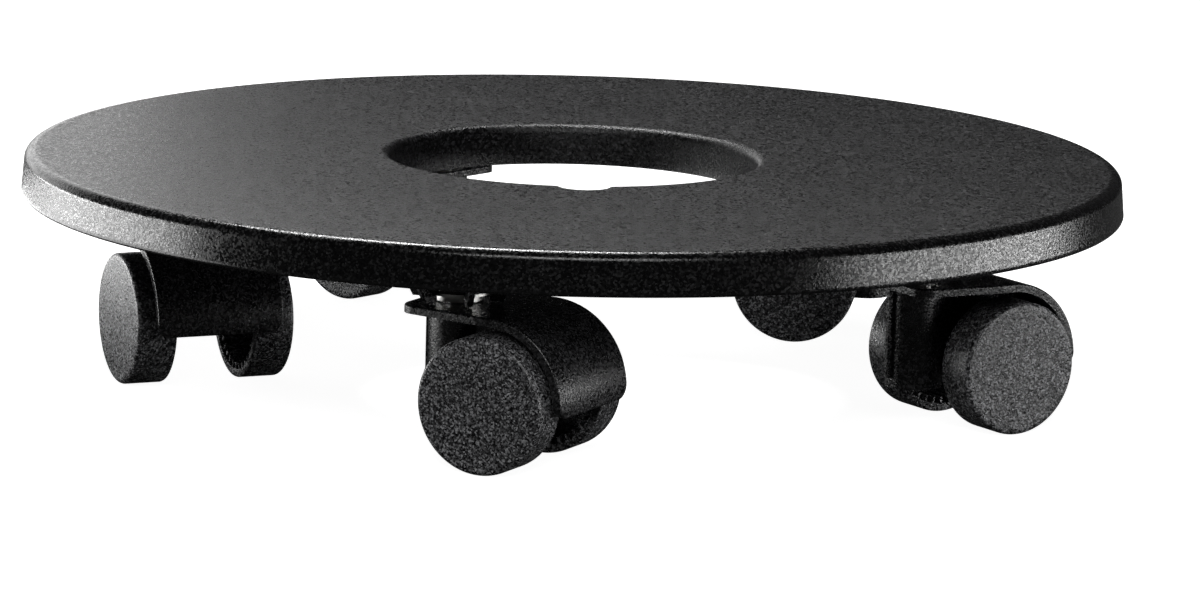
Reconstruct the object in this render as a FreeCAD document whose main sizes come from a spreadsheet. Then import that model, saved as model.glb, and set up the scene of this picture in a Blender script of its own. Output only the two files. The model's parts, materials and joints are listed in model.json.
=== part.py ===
import FreeCAD, Part
import math
import os
import re
import Sketcher

# A plant pot caddy: a round moulded deck with a central hole, on five twin-wheel
# swivel casters.
#
# Millimetres, +Z up, origin on the floor under the middle of the deck.
# The deck is drawn with one caster tower on +X and turned into place.
# A caster's housing, stem, socket and grip ring are drawn about the swivel axis,
# with +X towards the axle; its axle and wheels are drawn about the axle, which
# runs along Y.

CASTERS = (1, 2, 3, 4, 5)

DIMENSIONS = (
    ("deck_radius", 170, "deck, outer radius at the foot of the rim"),
    ("deck_bottom", 56, "deck, height of the rim's foot above the floor"),
    ("deck_thickness", 12.6, "deck, height of the rim"),
    ("deck_skin", 3, "deck, thickness of the top skin"),
    ("deck_wall", 3, "deck, thickness of the rim and of the hole's wall"),
    ("rim_draft", 0.84, "rim, how far it leans in from foot to shoulder"),
    ("rim_foot_bevel", 0.8, "rim, bevel along its foot"),
    ("rim_round", 3.574, "rim, radius of the rounded shoulder"),
    ("rim_round_across", 3.5, "rim, width of the rounded shoulder"),
    ("rim_round_down", 2.85, "rim, height of the rounded shoulder"),
    ("hole_radius", 57, "central hole, radius"),
    ("hole_round", 2.6, "central hole, rounding of its top edge"),
    ("notch_radius", 6.3, "finger notch in the hole's edge, radius"),
    ("notch_corner", 3, "finger notch, rounding of its two corners"),
    ("notch_angle", 18.5, "finger notch, angle from the first tower"),
    ("rib_count", 30, "underside, number of radial ribs"),
    ("rib_thickness", 1.8, "underside, thickness of a rib"),
    ("rib_recess", 2.5, "underside, ribs stop this far above the rim's foot"),
    ("inner_ring_radius", 89, "underside, radius of the inner ring rib"),
    ("outer_ring_radius", 146, "underside, radius of the outer ring rib"),
    ("tower_count", 5, "number of caster towers"),
    ("tower_circle_radius", 123, "distance of the swivel axes from the middle"),
    ("tower_angle_1", -105.1, "direction of the first tower from +X"),
    ("tower_boss_radius", 9.6, "tower, radius of its round boss"),
    ("gusset_root_radius", 19.8, "tower, reach of a gusset at the rim's foot"),
    ("gusset_tip_radius", 13.7, "tower, reach of a gusset at its lower end"),
    ("gusset_tip_drop", 2.6, "tower, how far gussets reach below the boss"),
    ("gusset_thickness", 1.8, "tower, thickness of a gusset"),
    ("fixed_gap", 0.02, "gap between pieces that are pressed together"),
    ("running_gap", 0.05, "gap between a shaft and what turns on it"),
    ("side_gap", 0.3, "gap between faces that pass each other"),
    ("socket_bore_radius", 4.2, "stem socket, radius inside"),
    ("socket_wall", 1, "stem socket, thickness of the sleeve"),
    ("socket_depth", 15.6, "stem socket, length of the sleeve in its tower"),
    ("socket_flange_radius", 9.4, "stem socket, radius of the flange"),
    ("socket_flange", 0.8, "stem socket, thickness of the flange"),
    ("stem_radius", 4, "stem, radius"),
    ("stem_insertion", 15, "stem, length above its collar"),
    ("stem_point", 1, "stem, bevel at both ends"),
    ("stem_collar_radius", 7.5, "stem, radius of the collar"),
    ("stem_collar", 1.8, "stem, thickness of the collar"),
    ("stem_foot", 15.4, "stem, height of its lower end above the floor"),
    ("ring_groove_depth", 0.8, "grip ring groove, depth in the stem"),
    ("ring_groove_width", 2, "grip ring groove, width"),
    ("ring_groove_above", 9, "grip ring groove, height above the collar"),
    ("grip_ring_opening", 40, "grip ring, angle of the slot"),
    ("snap_groove_depth", 0.4, "snap groove in stem or axle, depth"),
    ("snap_groove_width", 1.6, "snap groove in stem or axle, width"),
    ("stem_snap_above", 3, "stem, snap groove above its lower end"),
    ("wheel_radius", 20, "wheel, radius, and the axle's height"),
    ("wheel_width", 12.5, "wheel, width of the tread"),
    ("wheel_track", 50, "overall width across a pair of wheels"),
    ("wheel_round", 1.1, "wheel, rounding of the outer edge"),
    ("wheel_bevel", 0.5, "wheel, bevel of the inner edge"),
    ("wheel_rim", 2.4, "wheel, thickness of the tread"),
    ("wheel_disc", 2.2, "wheel, thickness of the closed outer face"),
    ("wheel_hub_radius", 5.6, "wheel, radius of the hub"),
    ("tooth_count", 36, "wheel, number of short ribs inside the tread"),
    ("tooth_height", 1.9, "wheel, how far a rib stands in from the tread"),
    ("tooth_thickness", 1.1, "wheel, thickness of a rib"),
    ("tooth_setback", 0.7, "wheel, ribs stop this far inside the open side"),
    ("axle_radius", 3, "axle, radius"),
    ("axle_reach", 22, "axle, half of its length"),
    ("axle_point", 0.8, "axle, bevel at both ends"),
    ("axle_snap_reach", 17.5, "axle, middle of a snap groove from the centre"),
    ("axle_trail", 21, "caster, distance of the axle behind the swivel axis"),
    ("hood_radius", 24.2, "hood, outer radius"),
    ("hood_rise", 0.7, "hood, height of its middle above the axle"),
    ("hood_thickness", 2.5, "hood, thickness"),
    ("hood_width", 40, "hood, width over the wheels"),
    ("hood_drop_angle", 6.6, "hood, angle of its back edge below its middle"),
    ("hood_corner", 4.5, "hood, rounding of its lower back corners"),
    ("hood_edge", 0.7, "hood, rounding of its edges"),
    ("nose_reach", 10.5, "hood, distance of its front from the swivel axis"),
    ("nose_flat", 11.5, "hood, half width of the straight part of its front"),
    ("nose_round", 5.5, "hood, radius of the front corners"),
    ("flare_end", 17, "hood, where its sides reach the full width"),
    ("block_radius", 8.6, "swivel block, radius"),
    ("block_bottom", 12.5, "swivel block, height of its foot above the floor"),
    ("web_thickness", 7, "middle web between the wheels, thickness"),
    ("web_heel", 4, "middle web, how far its foot runs behind the axle"),
    ("web_foot", 15.5, "middle web, height of its foot above the floor"),
    ("fin_reach", 10.4, "front fin, distance of its edge from the swivel axis"),
    ("fin_thickness", 1.2, "front fin, thickness"),
    ("fin_foot", 15.5, "front fin, height of its foot above the floor"),
    ("axle_boss_radius", 5.8, "axle boss, radius"),
    ("swivel_angle_1", -28.6, "caster 1, direction from swivel axis to axle"),
    ("swivel_angle_2", 33.2, "caster 2, direction from swivel axis to axle"),
    ("swivel_angle_3", 172.5, "caster 3, direction from swivel axis to axle"),
    ("swivel_angle_4", 139.5, "caster 4, direction from swivel axis to axle"),
    ("swivel_angle_5", -66.7, "caster 5, direction from swivel axis to axle"),
)

# Heights and reaches that follow from the driving dimensions.
DECK_TOP = "(deck_bottom + deck_thickness)"
SKIN_MIDDLE = f"({DECK_TOP} - deck_skin / 2)"
RIM_SHOULDER_RADIUS = "(deck_radius - rim_draft)"
HOOD_CENTRE = "(wheel_radius + hood_rise)"
HOOD_TOP = f"({HOOD_CENTRE} + hood_radius)"
HOOD_UNDERSIDE = f"({HOOD_TOP} - hood_thickness)"
HOOD_MIDDLE_RADIUS = "(hood_radius - hood_thickness / 2)"
COLLAR_BOTTOM = f"({HOOD_TOP} + side_gap)"
COLLAR_TOP = f"({COLLAR_BOTTOM} + stem_collar)"
TOWER_BOTTOM = f"({COLLAR_TOP} + socket_flange)"
SOCKET_TOP = f"({TOWER_BOTTOM} + socket_depth)"
SOCKET_RADIUS = "(socket_bore_radius + socket_wall)"
RING_GROOVE = f"({COLLAR_TOP} + ring_groove_above)"
STEM_SNAP = "(stem_foot + stem_snap_above)"
WHEEL_OUTSIDE = "(wheel_track / 2)"
WHEEL_INSIDE = "(wheel_track / 2 - wheel_width)"

document = FreeCAD.newDocument("plant_pot_caddy")
sheet = document.addObject("Spreadsheet::Sheet", "Dimensions")
for row, (alias, value, meaning) in enumerate(DIMENSIONS, start=1):
    sheet.set(f"A{row}", meaning)
    sheet.set(f"B{row}", str(value))
    sheet.setAlias(f"B{row}", alias)
document.recompute()


# ---- Helpers ---------------------------------------------------------------

def formula(text):
    """Write the sheet's name before each alias in text."""
    return re.sub(r"[a-z]+(?:_[a-z0-9]+)+", r"Dimensions.\g<0>", text)


def value_of(text):
    """The number that a formula gives now."""
    return float(sheet.evalExpression(formula(text)))


def new_body(label):
    body = document.addObject("PartDesign::Body", label)
    body.Label = label
    return body


def place(body, across, along, up, turn):
    """Bind the body's place, and its turn about Z, to formulas."""
    body.Placement = FreeCAD.Placement(FreeCAD.Vector(), FreeCAD.Vector(0, 0, 1), 1)
    body.setExpression("Placement.Base.x", formula(across))
    body.setExpression("Placement.Base.y", formula(along))
    body.setExpression("Placement.Base.z", formula(up))
    body.setExpression("Placement.Rotation.Angle", formula(turn))


def new_sketch(body, name, plane, turn=0, **offset):
    """A sketch on one of the body's origin planes, moved by the offset formulas."""
    sketch = body.newObject("Sketcher::SketchObject", name)
    support = next(item for item in body.Origin.OriginFeatures if item.Role == plane)
    sketch.AttachmentSupport = (support, [""])
    sketch.MapMode = "FlatFace"
    turned = FreeCAD.Rotation(FreeCAD.Vector(0, 1, 0), turn)
    sketch.AttachmentOffset = FreeCAD.Placement(FreeCAD.Vector(), turned)
    for axis, text in offset.items():
        sketch.setExpression(f"AttachmentOffset.Base.{axis}", formula(text))
    return sketch


def bind(sketch, kind, where, text):
    """Add one dimension to the sketch and bind it to a formula."""
    index = sketch.addConstraint(Sketcher.Constraint(kind, *where, value_of(text)))
    sketch.setExpression(f"Constraints[{index}]", formula(text))


def bind_point(sketch, geometry, point, across, up):
    bind(sketch, "DistanceX", (-1, 1, geometry, point), across)
    bind(sketch, "DistanceY", (-1, 1, geometry, point), up)


def arc_between(start, end, radius, side):
    """The short arc from start to end; side is 1 where it turns left, -1 right."""
    chord = end - start
    rise = math.sqrt(radius ** 2 - (chord.Length / 2) ** 2)
    left = FreeCAD.Vector(-chord.y, chord.x).normalize()
    centre = (start + end) / 2 + left * rise * side
    first, last = (start, end) if side > 0 else (end, start)
    angles = [math.atan2(point.y - centre.y, point.x - centre.x) for point in (first, last)]
    circle = Part.Circle(centre, FreeCAD.Vector(0, 0, 1), radius)
    return Part.ArcOfCircle(circle, *angles)


def draw_outline(sketch, corners):
    """Draw a closed outline through corners, each (across, up).

    A corner of four items (across, up, radius, side) starts an arc to the next
    corner, which turns left for side 1 and right for side -1.
    """
    points = [FreeCAD.Vector(value_of(corner[0]), value_of(corner[1])) for corner in corners]
    ends = []
    for number, corner in enumerate(corners):
        start = points[number]
        end = points[(number + 1) % len(points)]
        if len(corner) == 4:
            curve = arc_between(start, end, value_of(corner[2]), corner[3])
            geometry = sketch.addGeometry(curve)
            ends.append((geometry, 1, 2) if corner[3] > 0 else (geometry, 2, 1))
        else:
            geometry = sketch.addGeometry(Part.LineSegment(start, end))
            ends.append((geometry, 1, 2))
    for number, corner in enumerate(corners):
        geometry, start, end = ends[number]
        following, following_start, _ = ends[(number + 1) % len(ends)]
        joint = ("Coincident", geometry, end, following, following_start)
        sketch.addConstraint(Sketcher.Constraint(*joint))
        bind_point(sketch, geometry, start, corner[0], corner[1])
        if len(corner) == 4:
            bind(sketch, "Radius", (geometry,), corner[2])


def draw_box(sketch, left, right, bottom, top):
    draw_outline(sketch, ((left, bottom), (right, bottom), (right, top), (left, top)))


def draw_circle(sketch, radius, across="0", up="0"):
    centre = FreeCAD.Vector(value_of(across), value_of(up))
    circle = Part.Circle(centre, FreeCAD.Vector(0, 0, 1), value_of(radius))
    geometry = sketch.addGeometry(circle)
    bind_point(sketch, geometry, 3, across, up)
    bind(sketch, "Radius", (geometry,), radius)


def add_feature(body, kind, name, sketch):
    feature = body.newObject(f"PartDesign::{kind}", name)
    feature.Profile = (sketch, [""])
    sketch.Visibility = False
    return feature


def revolve(body, name, sketch, kind="Revolution", angle="360"):
    """Turn the sketch about its own vertical axis."""
    feature = add_feature(body, kind, name, sketch)
    feature.ReferenceAxis = (sketch, ["V_Axis"])
    feature.setExpression("Angle", formula(angle))
    return feature


def extrude(body, name, sketch, length, kind="Pad", both_ways=False, reverse=False):
    feature = add_feature(body, kind, name, sketch)
    feature.SideType = "Symmetric" if both_ways else "One side"
    feature.Reversed = reverse
    feature.setExpression("Length", formula(length))
    return feature


def repeat_round(body, name, features, sketch, axis, count):
    """Repeat features round an axis of the sketch."""
    pattern = body.newObject("PartDesign::PolarPattern", name)
    pattern.Originals = features
    pattern.Axis = (sketch, [axis])
    pattern.Angle = 360
    pattern.setExpression("Occurrences", formula(count))
    body.Tip = pattern
    return pattern


def round_edges(body, name, base, chosen, radius):
    """Fillet the base's edges for which chosen(edge) holds."""
    document.recompute()
    edges = [f"Edge{number}" for number, edge in enumerate(base.Shape.Edges, start=1) if chosen(edge)]
    fillet = body.newObject("PartDesign::Fillet", name)
    fillet.Base = (base, edges)
    fillet.setExpression("Radius", formula(radius))
    return fillet


def edge_middle(edge):
    return edge.valueAt((edge.FirstParameter + edge.LastParameter) / 2)


# ---- Deck ------------------------------------------------------------------

def make_deck():
    """The moulded deck: skin, rim, hole wall, ribs and five caster towers."""
    deck = new_body("deck")
    shell = new_sketch(deck, "deck_section", "XZ_Plane")
    draw_outline(shell, (
        ("hole_radius", "deck_bottom"),
        ("hole_radius + deck_wall", "deck_bottom"),
        ("hole_radius + deck_wall", f"{DECK_TOP} - deck_skin"),
        ("deck_radius - deck_wall - rim_draft", f"{DECK_TOP} - deck_skin"),
        ("deck_radius - deck_wall", "deck_bottom"),
        ("deck_radius - rim_foot_bevel", "deck_bottom"),
        ("deck_radius", "deck_bottom + rim_foot_bevel"),
        (RIM_SHOULDER_RADIUS, f"{DECK_TOP} - rim_round_down", "rim_round", 1),
        (f"{RIM_SHOULDER_RADIUS} - rim_round_across", DECK_TOP),
        ("hole_radius", DECK_TOP),
    ))
    revolve(deck, "deck_shell", shell)

    rings = new_sketch(deck, "ring_rib_section", "XZ_Plane")
    for radius in ("inner_ring_radius", "outer_ring_radius"):
        draw_box(rings, f"{radius} - rib_thickness / 2", f"{radius} + rib_thickness / 2",
                 "deck_bottom + rib_recess", SKIN_MIDDLE)
    revolve(deck, "ring_ribs", rings)

    rib_plan = new_sketch(deck, "rib_plan", "XY_Plane", z="deck_bottom + rib_recess")
    draw_box(rib_plan, "hole_radius + deck_wall / 2", "deck_radius - deck_wall / 2 - rim_draft",
             "-rib_thickness / 2", "rib_thickness / 2")
    rib = extrude(deck, "radial_rib", rib_plan, f"{SKIN_MIDDLE} - deck_bottom - rib_recess")
    repeat_round(deck, "radial_ribs", [rib], rib_plan, "N_Axis", "rib_count")

    boss_plan = new_sketch(deck, "tower_plan", "XY_Plane", z=TOWER_BOTTOM)
    draw_circle(boss_plan, "tower_boss_radius", "tower_circle_radius")
    tower = [extrude(deck, "tower_boss", boss_plan, f"{SKIN_MIDDLE} - {TOWER_BOTTOM}")]
    gusset_foot = f"{TOWER_BOTTOM} - gusset_tip_drop"
    for turn in (30, 90, 150):
        side = new_sketch(deck, "gusset_side", "XZ_Plane", turn, x="tower_circle_radius")
        draw_outline(side, (
            ("-gusset_tip_radius", gusset_foot),
            ("-tower_boss_radius", gusset_foot),
            ("-tower_boss_radius", TOWER_BOTTOM),
            ("tower_boss_radius", TOWER_BOTTOM),
            ("tower_boss_radius", gusset_foot),
            ("gusset_tip_radius", gusset_foot),
            ("gusset_root_radius", "deck_bottom"),
            ("gusset_root_radius", SKIN_MIDDLE),
            ("-gusset_root_radius", SKIN_MIDDLE),
            ("-gusset_root_radius", "deck_bottom"),
        ))
        tower.append(extrude(deck, "gussets", side, "gusset_thickness", both_ways=True))
    repeat_round(deck, "towers", tower, boss_plan, "N_Axis", "tower_count")

    bore_plan = new_sketch(deck, "socket_bore_plan", "XY_Plane", z=TOWER_BOTTOM)
    draw_circle(bore_plan, f"{SOCKET_RADIUS} + fixed_gap", "tower_circle_radius")
    bore = extrude(deck, "socket_bore", bore_plan, "socket_depth + side_gap", "Pocket", reverse=True)
    repeat_round(deck, "socket_bores", [bore], bore_plan, "N_Axis", "tower_count")

    notch_across = "hole_radius * cos(notch_angle)"
    notch_along = "hole_radius * sin(notch_angle)"
    collar_plan = new_sketch(deck, "notch_wall_plan", "XY_Plane", z="deck_bottom")
    draw_circle(collar_plan, "notch_radius + deck_wall", notch_across, notch_along)
    extrude(deck, "notch_wall", collar_plan, f"{SKIN_MIDDLE} - deck_bottom")
    notch_plan = new_sketch(deck, "notch_plan", "XY_Plane", z=DECK_TOP)
    draw_circle(notch_plan, "notch_radius", notch_across, notch_along)
    extrude(deck, "notch", notch_plan, "deck_thickness", "Pocket")
    hole_plan = new_sketch(deck, "hole_plan", "XY_Plane", z=DECK_TOP)
    draw_circle(hole_plan, "hole_radius")
    hole = extrude(deck, "hole", hole_plan, "deck_thickness", "Pocket")

    hole_radius = value_of("hole_radius")
    notch_radius = value_of("notch_radius")
    notch_centre = FreeCAD.Vector(value_of(notch_across), value_of(notch_along))
    top = value_of(DECK_TOP)

    def beside_notch(point):
        flat = FreeCAD.Vector(point.x, point.y)
        return abs(flat.distanceToPoint(notch_centre) - notch_radius) < 0.01

    def is_corner(edge):
        middle = edge_middle(edge)
        upright = abs(edge.BoundBox.ZLength - edge.Length) < 0.001
        return upright and beside_notch(middle) and abs(math.hypot(middle.x, middle.y) - hole_radius) < 0.01

    def is_hole_edge(edge):
        middle = edge_middle(edge)
        at_top = abs(edge.BoundBox.ZMin - top) < 0.001 and abs(edge.BoundBox.ZMax - top) < 0.001
        return at_top and math.hypot(middle.x, middle.y) < hole_radius + notch_radius + 1

    corners = round_edges(deck, "notch_corners", hole, is_corner, "notch_corner")
    round_edges(deck, "hole_edge", corners, is_hole_edge, "hole_round")
    place(deck, "0", "0", "0", "tower_angle_1")
    return deck


# ---- Stem, socket and grip ring ----------------------------------------------

def make_stem_socket(label):
    """The steel sleeve with a flange that lines a tower."""
    socket = new_body(label)
    section = new_sketch(socket, "sleeve_section", "XZ_Plane")
    draw_outline(section, (
        ("socket_bore_radius", COLLAR_TOP),
        ("socket_flange_radius", COLLAR_TOP),
        ("socket_flange_radius", TOWER_BOTTOM),
        (SOCKET_RADIUS, TOWER_BOTTOM),
        (SOCKET_RADIUS, SOCKET_TOP),
        ("socket_bore_radius", SOCKET_TOP),
    ))
    revolve(socket, "sleeve", section)
    return socket


def make_stem(label):
    """The steel pivot pin, with a collar, a grip ring groove and a snap groove."""
    stem = new_body(label)
    stem_top = f"({COLLAR_TOP} + stem_insertion)"
    section = new_sketch(stem, "stem_section", "XZ_Plane")
    draw_outline(section, (
        ("0", "stem_foot"),
        ("stem_radius - stem_point", "stem_foot"),
        ("stem_radius", "stem_foot + stem_point"),
        ("stem_radius", f"{STEM_SNAP} - snap_groove_width / 2"),
        ("stem_radius - snap_groove_depth", f"{STEM_SNAP} - snap_groove_width / 2"),
        ("stem_radius - snap_groove_depth", f"{STEM_SNAP} + snap_groove_width / 2"),
        ("stem_radius", f"{STEM_SNAP} + snap_groove_width / 2"),
        ("stem_radius", COLLAR_BOTTOM),
        ("stem_collar_radius", COLLAR_BOTTOM),
        ("stem_collar_radius", COLLAR_TOP),
        ("stem_radius", COLLAR_TOP),
        ("stem_radius", f"{RING_GROOVE} - ring_groove_width / 2"),
        ("stem_radius - ring_groove_depth", f"{RING_GROOVE} - ring_groove_width / 2"),
        ("stem_radius - ring_groove_depth", f"{RING_GROOVE} + ring_groove_width / 2"),
        ("stem_radius", f"{RING_GROOVE} + ring_groove_width / 2"),
        ("stem_radius", f"{stem_top} - stem_point"),
        ("stem_radius - stem_point", stem_top),
        ("0", stem_top),
    ))
    revolve(stem, "pin", section)
    return stem


def make_grip_ring(label):
    """The split spring ring that holds the stem in its socket."""
    ring = new_body(label)
    section = new_sketch(ring, "grip_ring_section", "XZ_Plane")
    draw_box(section, "stem_radius - ring_groove_depth + fixed_gap", "socket_bore_radius - fixed_gap",
             f"{RING_GROOVE} - ring_groove_width / 2 + running_gap",
             f"{RING_GROOVE} + ring_groove_width / 2 - running_gap")
    revolve(ring, "spring_ring", section, angle="360 - grip_ring_opening")
    return ring


# ---- Housing, axle and wheels --------------------------------------------------

def make_housing(label):
    """The hooded swivel housing: top plate, hood, swivel block, web and axle boss."""
    housing = new_body(label)
    half_width = "hood_width / 2"
    shoulder = "nose_flat + nose_round"
    plate_plan = new_sketch(housing, "plate_plan", "XY_Plane", z=HOOD_UNDERSIDE)
    draw_outline(plate_plan, (
        ("axle_trail", f"-{half_width}"),
        ("axle_trail", half_width),
        ("flare_end", half_width),
        ("nose_round - nose_reach", shoulder, "nose_round", 1),
        ("-nose_reach", "nose_flat"),
        ("-nose_reach", "-nose_flat", "nose_round", 1),
        ("nose_round - nose_reach", f"-({shoulder})"),
        ("flare_end", f"-{half_width}"),
    ))
    extrude(housing, "top_plate", plate_plan, "hood_thickness")

    hood_side = new_sketch(housing, "hood_side", "XZ_Plane")
    drop_across = "cos(hood_drop_angle)"
    drop_down = "sin(hood_drop_angle)"
    inner_radius = "(hood_radius - hood_thickness)"
    draw_outline(hood_side, (
        ("axle_trail", HOOD_TOP, "hood_radius", -1),
        (f"axle_trail + hood_radius * {drop_across}", f"{HOOD_CENTRE} - hood_radius * {drop_down}"),
        (f"axle_trail + {inner_radius} * {drop_across}", f"{HOOD_CENTRE} - {inner_radius} * {drop_down}",
         inner_radius, 1),
        ("axle_trail", HOOD_UNDERSIDE),
    ))
    extrude(housing, "hood", hood_side, "hood_width", both_ways=True)

    block_plan = new_sketch(housing, "block_plan", "XY_Plane", z="block_bottom")
    draw_circle(block_plan, "block_radius")
    block_height = f"{HOOD_TOP} - hood_thickness / 2 - block_bottom"
    extrude(housing, "swivel_block", block_plan, block_height)

    web_side = new_sketch(housing, "web_side", "XZ_Plane")
    draw_outline(web_side, (
        ("0", "web_foot"),
        ("axle_trail + web_heel", "web_foot"),
        (f"axle_trail + {HOOD_MIDDLE_RADIUS}", HOOD_CENTRE, HOOD_MIDDLE_RADIUS, 1),
        ("axle_trail", f"{HOOD_CENTRE} + {HOOD_MIDDLE_RADIUS}"),
        ("0", f"{HOOD_CENTRE} + {HOOD_MIDDLE_RADIUS}"),
    ))
    extrude(housing, "middle_web", web_side, "web_thickness", both_ways=True)

    fin_side = new_sketch(housing, "fin_side", "XZ_Plane")
    draw_box(fin_side, "-fin_reach", "-block_radius / 2", "fin_foot",
             f"{HOOD_TOP} - hood_thickness / 2")
    extrude(housing, "front_fin", fin_side, "fin_thickness", both_ways=True)

    boss_side = new_sketch(housing, "axle_boss_side", "XZ_Plane")
    draw_circle(boss_side, "axle_boss_radius", "axle_trail", "wheel_radius")
    extrude(housing, "axle_boss", boss_side, f"2 * ({WHEEL_INSIDE} - side_gap)", both_ways=True)

    bore_radius = "(stem_radius + running_gap)"
    bead_radius = "(stem_radius - snap_groove_depth + running_gap)"
    bead_half = "(snap_groove_width / 2 - side_gap)"
    stem_bore = new_sketch(housing, "stem_bore_section", "XZ_Plane")
    draw_outline(stem_bore, (
        ("0", "stem_foot - side_gap"),
        (bore_radius, "stem_foot - side_gap"),
        (bore_radius, f"{STEM_SNAP} - {bead_half}"),
        (bead_radius, f"{STEM_SNAP} - {bead_half}"),
        (bead_radius, f"{STEM_SNAP} + {bead_half}"),
        (bore_radius, f"{STEM_SNAP} + {bead_half}"),
        (bore_radius, HOOD_TOP),
        ("0", HOOD_TOP),
    ))
    revolve(housing, "stem_bore", stem_bore, "Groove")

    axle_bore = new_sketch(housing, "axle_bore_side", "XZ_Plane")
    draw_circle(axle_bore, "axle_radius + fixed_gap", "axle_trail", "wheel_radius")
    bored = extrude(housing, "axle_bore", axle_bore, "wheel_track", "Pocket", both_ways=True)

    half = value_of(half_width)
    hood_back = value_of(f"axle_trail + {inner_radius} * {drop_across}") - 0.5
    hood_top = value_of(HOOD_TOP)

    def is_lower_corner(edge):
        middle = edge_middle(edge)
        short = edge.Length < value_of("hood_thickness") + 0.1
        return short and abs(abs(middle.y) - half) < 0.01 and middle.x > hood_back

    def is_outer_edge(edge):
        box = edge.BoundBox
        middle = edge_middle(edge)
        on_plate = abs(box.ZMin - hood_top) < 0.001
        around = math.hypot(middle.x - value_of("axle_trail"), middle.z - value_of(HOOD_CENTRE))
        on_hood = abs(around - value_of("hood_radius")) < 0.01 and abs(abs(middle.y) - half) < 0.01
        inside_plate = math.hypot(middle.x, middle.y) < value_of("block_radius")
        across_plate = box.YLength > half and box.XLength < 0.01 and middle.x > 0
        return (on_plate and not inside_plate and not across_plate) or on_hood

    cornered = round_edges(housing, "hood_corners", bored, is_lower_corner, "hood_corner")
    round_edges(housing, "hood_edges", cornered, is_outer_edge, "hood_edge")
    return housing


def make_axle(label):
    """The steel axle, with a snap groove for each wheel."""
    axle = new_body(label)
    section = new_sketch(axle, "axle_section", "XY_Plane")
    groove_bottom = "axle_radius - snap_groove_depth"
    groove_start = "axle_snap_reach - snap_groove_width / 2"
    groove_end = "axle_snap_reach + snap_groove_width / 2"
    draw_outline(section, (
        ("0", "-axle_reach"),
        ("axle_radius - axle_point", "-axle_reach"),
        ("axle_radius", "-axle_reach + axle_point"),
        ("axle_radius", f"-({groove_end})"),
        (groove_bottom, f"-({groove_end})"),
        (groove_bottom, f"-({groove_start})"),
        ("axle_radius", f"-({groove_start})"),
        ("axle_radius", groove_start),
        (groove_bottom, groove_start),
        (groove_bottom, groove_end),
        ("axle_radius", groove_end),
        ("axle_radius", "axle_reach - axle_point"),
        ("axle_radius - axle_point", "axle_reach"),
        ("0", "axle_reach"),
    ))
    revolve(axle, "axle_pin", section)
    return axle


def make_wheel(label):
    """A hollow wheel, open towards the web, with short ribs inside its tread."""
    wheel = new_body(label)
    bore_radius = "axle_radius + running_gap"
    bead_radius = "axle_radius - snap_groove_depth + running_gap"
    bead_start = "axle_snap_reach - snap_groove_width / 2 + side_gap"
    bead_end = "axle_snap_reach + snap_groove_width / 2 - side_gap"
    bore_end = "axle_reach + side_gap"
    disc_inside = f"{WHEEL_OUTSIDE} - wheel_disc"
    tread_inside = "wheel_radius - wheel_rim"
    section = new_sketch(wheel, "wheel_section", "XY_Plane")
    draw_outline(section, (
        ("0", bore_end),
        (bore_radius, bore_end),
        (bore_radius, bead_end),
        (bead_radius, bead_end),
        (bead_radius, bead_start),
        (bore_radius, bead_start),
        (bore_radius, WHEEL_INSIDE),
        ("wheel_hub_radius", WHEEL_INSIDE),
        ("wheel_hub_radius", disc_inside),
        (tread_inside, disc_inside),
        (tread_inside, WHEEL_INSIDE),
        ("wheel_radius - wheel_bevel", WHEEL_INSIDE),
        ("wheel_radius", f"{WHEEL_INSIDE} + wheel_bevel"),
        ("wheel_radius", f"{WHEEL_OUTSIDE} - wheel_round", "wheel_round", 1),
        ("wheel_radius - wheel_round", WHEEL_OUTSIDE),
        ("0", WHEEL_OUTSIDE),
    ))
    revolve(wheel, "wheel_shell", section)

    tooth_plan = new_sketch(wheel, "tooth_plan", "XZ_Plane", z=f"-({WHEEL_INSIDE} + tooth_setback)")
    draw_box(tooth_plan, f"{tread_inside} - tooth_height", f"{tread_inside} + wheel_rim / 2",
             "-tooth_thickness / 2", "tooth_thickness / 2")
    tooth_length = "wheel_width - tooth_setback - wheel_disc / 2"
    tooth = extrude(wheel, "tooth", tooth_plan, tooth_length, reverse=True)
    repeat_round(wheel, "teeth", [tooth], tooth_plan, "N_Axis", "tooth_count")
    return wheel


# ---- Assembly ----------------------------------------------------------------

sub_parts = [make_deck()]
for caster in CASTERS:
    bearing = f"(tower_angle_1 + {caster - 1} * 360 / tower_count)"
    swivel = f"swivel_angle_{caster}"
    axis_across = f"tower_circle_radius * cos({bearing})"
    axis_along = f"tower_circle_radius * sin({bearing})"
    axle_across = f"{axis_across} + axle_trail * cos({swivel})"
    axle_along = f"{axis_along} + axle_trail * sin({swivel})"
    about_swivel = (
        make_stem_socket(f"stem_socket_{caster}"),
        make_grip_ring(f"grip_ring_{caster}"),
        make_stem(f"stem_{caster}"),
        make_housing(f"housing_{caster}"),
    )
    for body in about_swivel:
        place(body, axis_across, axis_along, "0", swivel)
    axle = make_axle(f"axle_{caster}")
    left_wheel = make_wheel(f"wheel_{caster}_left")
    right_wheel = make_wheel(f"wheel_{caster}_right")
    place(axle, axle_across, axle_along, "wheel_radius", swivel)
    place(left_wheel, axle_across, axle_along, "wheel_radius", swivel)
    place(right_wheel, axle_across, axle_along, "wheel_radius", f"{swivel} + 180")
    sub_parts += [*about_swivel, axle, left_wheel, right_wheel]
document.recompute()

for item in document.Objects:
    if "Invalid" in item.State or "Error" in item.State:
        raise RuntimeError(f"{item.Label} did not compute: {item.State}")
for body in sub_parts:
    if body.Shape.isNull() or not body.Shape.isValid():
        raise RuntimeError(f"{body.Label} has no valid shape")
    if len(body.Shape.Solids) != 1:
        raise RuntimeError(f"{body.Label} is {len(body.Shape.Solids)} solids, not one")

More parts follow.
